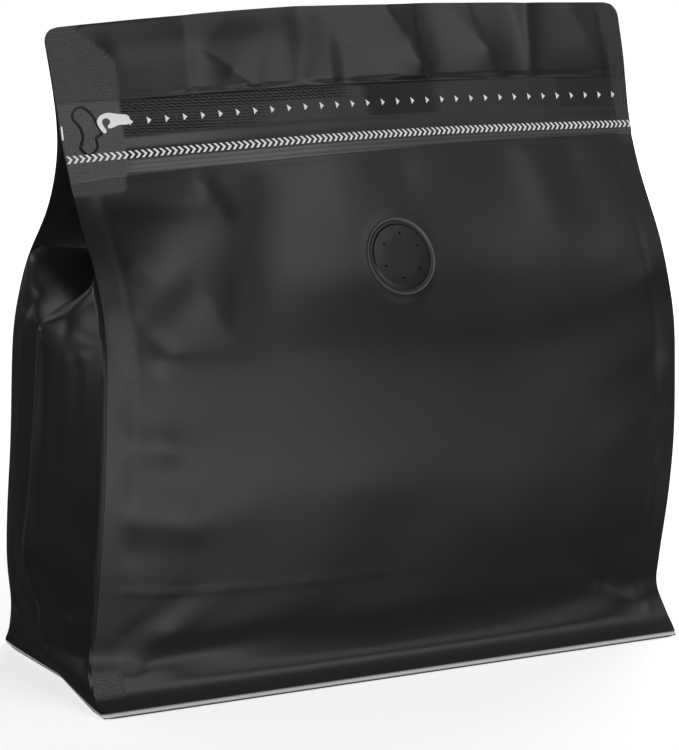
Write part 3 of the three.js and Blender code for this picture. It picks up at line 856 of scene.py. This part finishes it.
# ---------- Valve ----------
def valve_matrix():
    """From millimetres about the valve's seat to the scene."""
    turn = Vector((0, 0, 1)).rotation_difference(VALVE_NORMAL)
    return Matrix.Translation(VALVE_AT * MM) @ turn.to_matrix().to_4x4() @ Matrix.Scale(MM, 4)


def valve_profile():
    """Radius and height from the middle of its underside over the rim and the groove to the cap."""
    r, cap, rim_up, up = VALVE_RADIUS, VALVE_RADIUS * VALVE_CAP, VALVE_RIM_UP, VALVE_CAP_UP
    return [
        (0, -0.5), (r * 0.5, -0.5), (r - 0.2, -0.5), (r + 0.05, -0.3), (r, 0.3), (r - 0.1, rim_up),
        (r - 0.4, rim_up), (r - 0.55, rim_up - 0.1), (r - 0.65, 0.2), (r - 0.85, VALVE_GROOVE),
        (cap + 0.5, VALVE_GROOVE), (cap + 0.36, 0.2), (cap + 0.2, 0.4), (cap, 0.55), (cap - 0.4, 0.62),
        (cap - 1.2, 0.6), (cap - 1.7, up * 0.97), (cap * 0.55, up), (cap * 0.3, up), (0, up),
    ]


def ring(radius, z, sides, centre=(0, 0)):
    turns = [2 * math.pi * k / sides for k in range(sides)]
    return [(centre[0] + radius * math.cos(t), centre[1] + radius * math.sin(t), z) for t in turns]


def turned(profile, sides):
    """Points and faces of a solid turned from a profile that starts and ends on its axis."""
    points = [(0, 0, profile[0][1])]
    for radius, z in profile[1:-1]:
        points += ring(radius, z, sides)
    points.append((0, 0, profile[-1][1]))
    rings = len(profile) - 2
    faces = grid_faces(rings, sides, base=1, closed=True)
    faces += [(0, 1 + (k + 1) % sides, 1 + k) for k in range(sides)]
    last = 1 + (rings - 1) * sides
    faces += [(len(points) - 1, last + k, last + (k + 1) % sides) for k in range(sides)]
    return np.array(points) / MM, faces


def build_valve():
    valve = new_object("valve_cap", *turned(valve_profile(), VALVE_SIDES))
    valve.data.transform(valve_matrix())
    for k in range(PINHOLES):
        combine(valve, pinhole(2 * math.pi * k / PINHOLES), "DIFFERENCE")
    local = valve_matrix().inverted()
    radii = np.array([(local @ vertex.co).xy.length for vertex in valve.data.vertices])
    paint(valve, "rim", ramp(radii, VALVE_RADIUS - 0.8, VALVE_RADIUS - 0.6))
    return dress(valve, valve_material(), "valve", "degassing_valve")


def pinhole(angle):
    """A pit to be cut into the cap, wider towards its mouth."""
    sides = PINHOLE_SIDES
    centre = (PINHOLE_RING * math.sin(angle), PINHOLE_RING * math.cos(angle))
    points = ring(PINHOLE_RADIUS * 0.7, VALVE_CAP_UP - PINHOLE_DEPTH, sides, centre)
    points += ring(PINHOLE_RADIUS * 1.5, VALVE_CAP_UP + 1, sides, centre)
    faces = [tuple(range(sides))[::-1], tuple(range(sides, 2 * sides))]
    faces += grid_faces(2, sides, closed=True)
    pit = new_object("pinhole", np.array(points) / MM, faces)
    pit.data.transform(valve_matrix())
    return pit


# ---------- Materials ----------
WAVE_NODE_TURNS = 20  # the wave node multiplies its place by this, in radians


class Nodes:
    """A material's node tree, with short calls for what the materials here need."""

    def __init__(self, name):
        self.material = bpy.data.materials.new(name)
        self.material.use_nodes = True
        self.tree = self.material.node_tree
        self.shader = self.tree.nodes["Principled BSDF"]

    def add(self, kind, inputs=(), **settings):
        node = self.tree.nodes.new(kind)
        for key, value in settings.items():
            setattr(node, key, value)
        for key, value in dict(inputs).items():
            if isinstance(value, bpy.types.NodeSocket):
                self.tree.links.new(value, node.inputs[key])
            else:
                node.inputs[key].default_value = value
        return node

    def place(self):
        return self.add("ShaderNodeTexCoord").outputs["Object"]

    def layer(self, name):
        return self.add("ShaderNodeAttribute", attribute_name=name).outputs["Fac"]

    def math(self, operation, a, b):
        return self.add("ShaderNodeMath", {0: a, 1: b}, operation=operation).outputs[0]

    def noise(self, scale, detail=2.0, roughness=0.5):
        inputs = {"Vector": self.place(), "Scale": scale, "Detail": detail, "Roughness": roughness}
        return self.add("ShaderNodeTexNoise", inputs).outputs["Fac"]

    def bands(self, direction, pitch, distortion=0.0, detail_scale=1.0):
        """Even bands across a direction, a pitch in metres apart."""
        scale = 2 * math.pi / (WAVE_NODE_TURNS * pitch)
        inputs = {"Vector": self.place(), "Scale": scale, "Distortion": distortion,
                  "Detail Scale": detail_scale}
        return self.add("ShaderNodeTexWave", inputs, bands_direction=direction).outputs["Fac"]

    def range(self, value, low, high):
        return self.add("ShaderNodeMapRange", {"Value": value, "To Min": low, "To Max": high}).outputs[0]

    def mix(self, share, a, b):
        node = self.add("ShaderNodeMix", {0: share}, data_type="RGBA")
        for index, value in ((6, a), (7, b)):
            if isinstance(value, bpy.types.NodeSocket):
                self.tree.links.new(value, node.inputs[index])
            else:
                node.inputs[index].default_value = (*value, 1)
        return node.outputs[2]

    def bump(self, height, distance, strength=1.0, below=None):
        inputs = {"Height": height, "Distance": distance, "Strength": strength}
        if below is not None:
            inputs["Normal"] = below
        return self.add("ShaderNodeBump", inputs).outputs["Normal"]

    def finish(self, **inputs):
        for key, value in inputs.items():
            socket = self.shader.inputs[key.replace("_", " ")]
            if isinstance(value, bpy.types.NodeSocket):
                self.tree.links.new(value, socket)
            else:
                socket.default_value = value
        return self.material


FILM_DARK, FILM_LIGHT = (0.0105, 0.0105, 0.0107), (0.0145, 0.0145, 0.0148)
STRIP_DARK, STRIP_LIGHT = (0.014, 0.014, 0.0143), (0.021, 0.021, 0.0214)
# The valve's face is painted darker than the film: a painted dark reflection of the surroundings that its
# smooth face mirrors
VALVE_SHADED_DARK, VALVE_SHADED_LIGHT = (0.005, 0.005, 0.0051), (0.008, 0.008, 0.0082)
VALVE_RIM_TONE = (0.085, 0.085, 0.085)
FLOOR_DARK, FLOOR_LIGHT = (0.86, 0.86, 0.86), (0.9, 0.9, 0.9)
# A lighter tone painted on the waffle emboss: a painted sheen for the light its facets catch
WAFFLE_SHEEN_TONE = (0.11, 0.11, 0.111)
WAFFLE_ON_FILM = 0.65  # how much of that painted sheen shows on the plain film
# Painted highlight on the strip's ribs and on the smooth strip's left part
STRIP_HIGHLIGHT_TONE = (0.12, 0.12, 0.12)
WORN_EDGE = (0.8, 0.8, 0.8)
INK_WHITE = (0.97, 0.97, 0.965)
INK_THIN = 0.92  # brightness where the ink is thinner
SHEEN = 0.4  # specular level of the film and the ink

# Relief in metres: pitches of the bands and depths of the bumps.
WAFFLE_PITCH_X, WAFFLE_PITCH_Z, WAFFLE_DEPTH = 0.00058, 0.00052, 0.00026
ROPE_PITCH, ROPE_PITCH_Z, ROPE_DEPTH = 0.0009, 0.00085, 0.00034
HATCH_PITCH, HATCH_DEPTH = 0.0008, 0.0002
GRAIN_DEPTH = 0.00002


def waffle_height(nodes):
    across = nodes.bands("X", WAFFLE_PITCH_X, 1.2, 3.0)
    upward = nodes.bands("Z", WAFFLE_PITCH_Z, 1.2, 3.0)
    return nodes.math("MULTIPLY", across, upward)


def film_material():
    nodes = Nodes("matt_black_film")
    waffle = nodes.layer("waffle")
    clouds = nodes.noise(28, 3)
    base = nodes.mix(clouds, FILM_DARK, FILM_LIGHT)
    # painted sheen on the waffle emboss
    base = nodes.mix(nodes.math("MULTIPLY", waffle, WAFFLE_ON_FILM), base, WAFFLE_SHEEN_TONE)
    # the light cut edge, with a painted contact shadow left dark along its foot
    base = nodes.mix(nodes.layer("cut_edge_over_shadow"), base, WORN_EDGE)
    rough = nodes.range(nodes.noise(60, 3), 0.30, 0.38)
    grain = nodes.bump(nodes.noise(2600, 2), GRAIN_DEPTH, 0.35)
    emboss = nodes.math("MULTIPLY", waffle_height(nodes), waffle)
    normal = nodes.bump(emboss, WAFFLE_DEPTH, 1.0, grain)
    return nodes.finish(Base_Color=base, Roughness=rough, Normal=normal, Specular_IOR_Level=SHEEN)


def strip_material():
    found = bpy.data.materials.get("embossed_strip")
    if found:
        return found
    nodes = Nodes("embossed_strip")
    waffle, rope, hatch = nodes.layer("waffle"), nodes.layer("rope"), nodes.layer("hatch")
    base = nodes.mix(nodes.noise(90, 3), STRIP_DARK, STRIP_LIGHT)
    # painted highlight on the ribs and the smooth strip's left part
    base = nodes.mix(nodes.layer("strip_highlight"), base, STRIP_HIGHLIGHT_TONE)
    # painted sheen on the waffle emboss
    base = nodes.mix(waffle, base, WAFFLE_SHEEN_TONE)
    rough = nodes.range(nodes.noise(120, 3), 0.34, 0.44)
    grain = nodes.bump(nodes.noise(2600, 2), GRAIN_DEPTH, 0.35)
    emboss = nodes.math("MULTIPLY", waffle_height(nodes), waffle)
    normal = nodes.bump(emboss, WAFFLE_DEPTH, 1.0, grain)
    slanting = nodes.bands("DIAGONAL", ROPE_PITCH, 1.0, 2.0)
    twist = nodes.math("MULTIPLY", slanting, nodes.bands("Z", ROPE_PITCH_Z))
    twist = nodes.math("MULTIPLY", twist, rope)
    normal = nodes.bump(twist, ROPE_DEPTH, 1.0, normal)
    lines = nodes.math("MULTIPLY", nodes.bands("X", HATCH_PITCH, 0.3, 2.0), hatch)
    normal = nodes.bump(lines, HATCH_DEPTH, 1.0, normal)
    return nodes.finish(Base_Color=base, Roughness=rough, Normal=normal, Specular_IOR_Level=SHEEN)


def ink_material():
    found = bpy.data.materials.get("white_ink")
    if found:
        return found
    nodes = Nodes("white_ink")
    base = nodes.mix(nodes.noise(700, 3), tuple(INK_THIN * c for c in INK_WHITE), INK_WHITE)
    rough = nodes.range(nodes.noise(900, 2), 0.5, 0.62)
    return nodes.finish(Base_Color=base, Roughness=rough, Specular_IOR_Level=SHEEN)


def valve_material():
    nodes = Nodes("valve_film")
    # painted dark reflection: darker than the film
    base = nodes.mix(nodes.noise(160, 3), VALVE_SHADED_DARK, VALVE_SHADED_LIGHT)
    base = nodes.mix(nodes.layer("rim"), base, VALVE_RIM_TONE)
    rough = nodes.range(nodes.noise(200, 3), 0.34, 0.42)
    grain = nodes.bump(nodes.noise(2200, 2), GRAIN_DEPTH, 0.3)
    return nodes.finish(Base_Color=base, Roughness=rough, Normal=grain, Specular_IOR_Level=0.45)


# ---------- Studio ----------
CAMERA_AT = Vector((-0.410404, -0.855331, 0.290760))
LOOK_AT = Vector((-0.00179, -0.0019, 0.08710))
LENS = 147.76
SENSOR = 36


def build_camera():
    data = bpy.data.cameras.new("camera")
    data.lens = LENS
    data.sensor_width = SENSOR
    camera = bpy.data.objects.new("camera", data)
    bpy.context.scene.collection.objects.link(camera)
    camera.location = CAMERA_AT
    camera.rotation_euler = (LOOK_AT - CAMERA_AT).to_track_quat("-Z", "Y").to_euler()
    bpy.context.scene.camera = camera


# Soft boxes: name, azimuth, elevation, watts, side in metres. Azimuth 0 is straight in front, positive
# to the right. The low ones stand for the light that a white table throws up.
SOFT_BOXES = [
    ("table_left", -25, -12, 5.4, 1.0),
    ("table_far_left", -50, -12, 3.6, 1.0),
    ("table_side", -80, -12, 1.0, 1.1),
    ("table_middle", 0, -12, 2.0, 1.0),
    ("table_right", 25, -12, 3.0, 1.1),
    ("table_far_right", 85, -12, 1.4, 1.1),
    ("table_near", 5, -34, 1.8, 0.9),
    ("top_front", 26, 44, 4.0, 0.8),
    ("top_right", 60, 43, 1.0, 0.9),
    ("front", 0, 25, 2.2, 1.1),
    ("left_rim", -120, 10, 3.0, 0.6),
    ("back_left_rim", -155, 42, 1.2, 0.5),
    ("back_low", 178, 10, 0.9, 0.7),
    ("right_fill", 85, 25, 0.6, 1.1),
    ("back_right", 135, 25, 9.0, 1.1),
]
BOX_AWAY = 1.5  # metres from the bag
BOX_AIM = Vector((0, 0, 0.1))
ROOM_GLOW = 0.032
FLOOR_HALF = 6.0  # metres
FLOOR_DROP = 0.0002  # it lies this far under the bag
FLOOR_GLOW = (0.68, 0.98)  # beside the bag and far from it
FLOOR_GLOW_REACH = (0.2, 1.3)  # metres from the bag's middle


def soft_light(name, azimuth, elevation, watts, side):
    """A square soft box that faces the bag and isn't seen itself."""
    data = bpy.data.lights.new(name, "AREA")
    data.shape = "SQUARE"
    data.size = side
    data.energy = watts
    light = bpy.data.objects.new(name, data)
    bpy.context.scene.collection.objects.link(light)
    light.visible_camera = False
    a, e = math.radians(azimuth), math.radians(elevation)
    away = Vector((math.sin(a) * math.cos(e), -math.cos(a) * math.cos(e), math.sin(e)))
    light.location = BOX_AIM + away * BOX_AWAY
    light.rotation_euler = (-away).to_track_quat("-Z", "Y").to_euler()


def build_floor():
    """A pale floor, a little brighter away from the bag, that shows only to the camera."""
    mesh = bpy.data.meshes.new("floor")
    half = FLOOR_HALF
    corners = [(-half, -half), (half, -half), (half, half), (-half, half)]
    mesh.from_pydata([(x, y, -FLOOR_DROP) for x, y in corners], [], [(0, 1, 2, 3)])
    floor = bpy.data.objects.new("floor", mesh)
    bpy.context.scene.collection.objects.link(floor)
    nodes = Nodes("pale_floor")
    base = nodes.mix(nodes.noise(6, 2), FLOOR_DARK, FLOOR_LIGHT)
    away = nodes.add("ShaderNodeVectorMath", {0: nodes.place()}, operation="LENGTH").outputs["Value"]
    spread = {"Value": away}
    spread["From Min"], spread["From Max"] = FLOOR_GLOW_REACH
    spread["To Min"], spread["To Max"] = FLOOR_GLOW
    glow = nodes.add("ShaderNodeMapRange", spread).outputs[0]
    mesh.materials.append(nodes.finish(
        Base_Color=base, Roughness=0.6, Specular_IOR_Level=0.3,
        Emission_Color=(1, 1, 1, 1), Emission_Strength=glow,
    ))
    floor.visible_diffuse = False
    floor.visible_glossy = False
    floor.visible_shadow = False


def build_world():
    """A white room to the eye that gives only a dim light all round."""
    world = bpy.data.worlds.new("studio")
    world.use_nodes = True
    tree = world.node_tree
    background = tree.nodes["Background"]
    background.inputs["Color"].default_value = (1, 1, 1, 1)
    seen = tree.nodes.new("ShaderNodeLightPath")
    strength = tree.nodes.new("ShaderNodeMapRange")
    strength.inputs["To Min"].default_value = ROOM_GLOW
    strength.inputs["To Max"].default_value = 1.0
    tree.links.new(seen.outputs["Is Camera Ray"], strength.inputs["Value"])
    tree.links.new(strength.outputs[0], background.inputs["Strength"])
    bpy.context.scene.world = world


def build_studio():
    build_world()
    build_floor()
    for box in SOFT_BOXES:
        soft_light(*box)
    bpy.context.scene.view_settings.view_transform = "Standard"


# ---------- The bag ----------
build_camera()
build_film()
build_strip()
build_print()
build_valve()
build_studio()
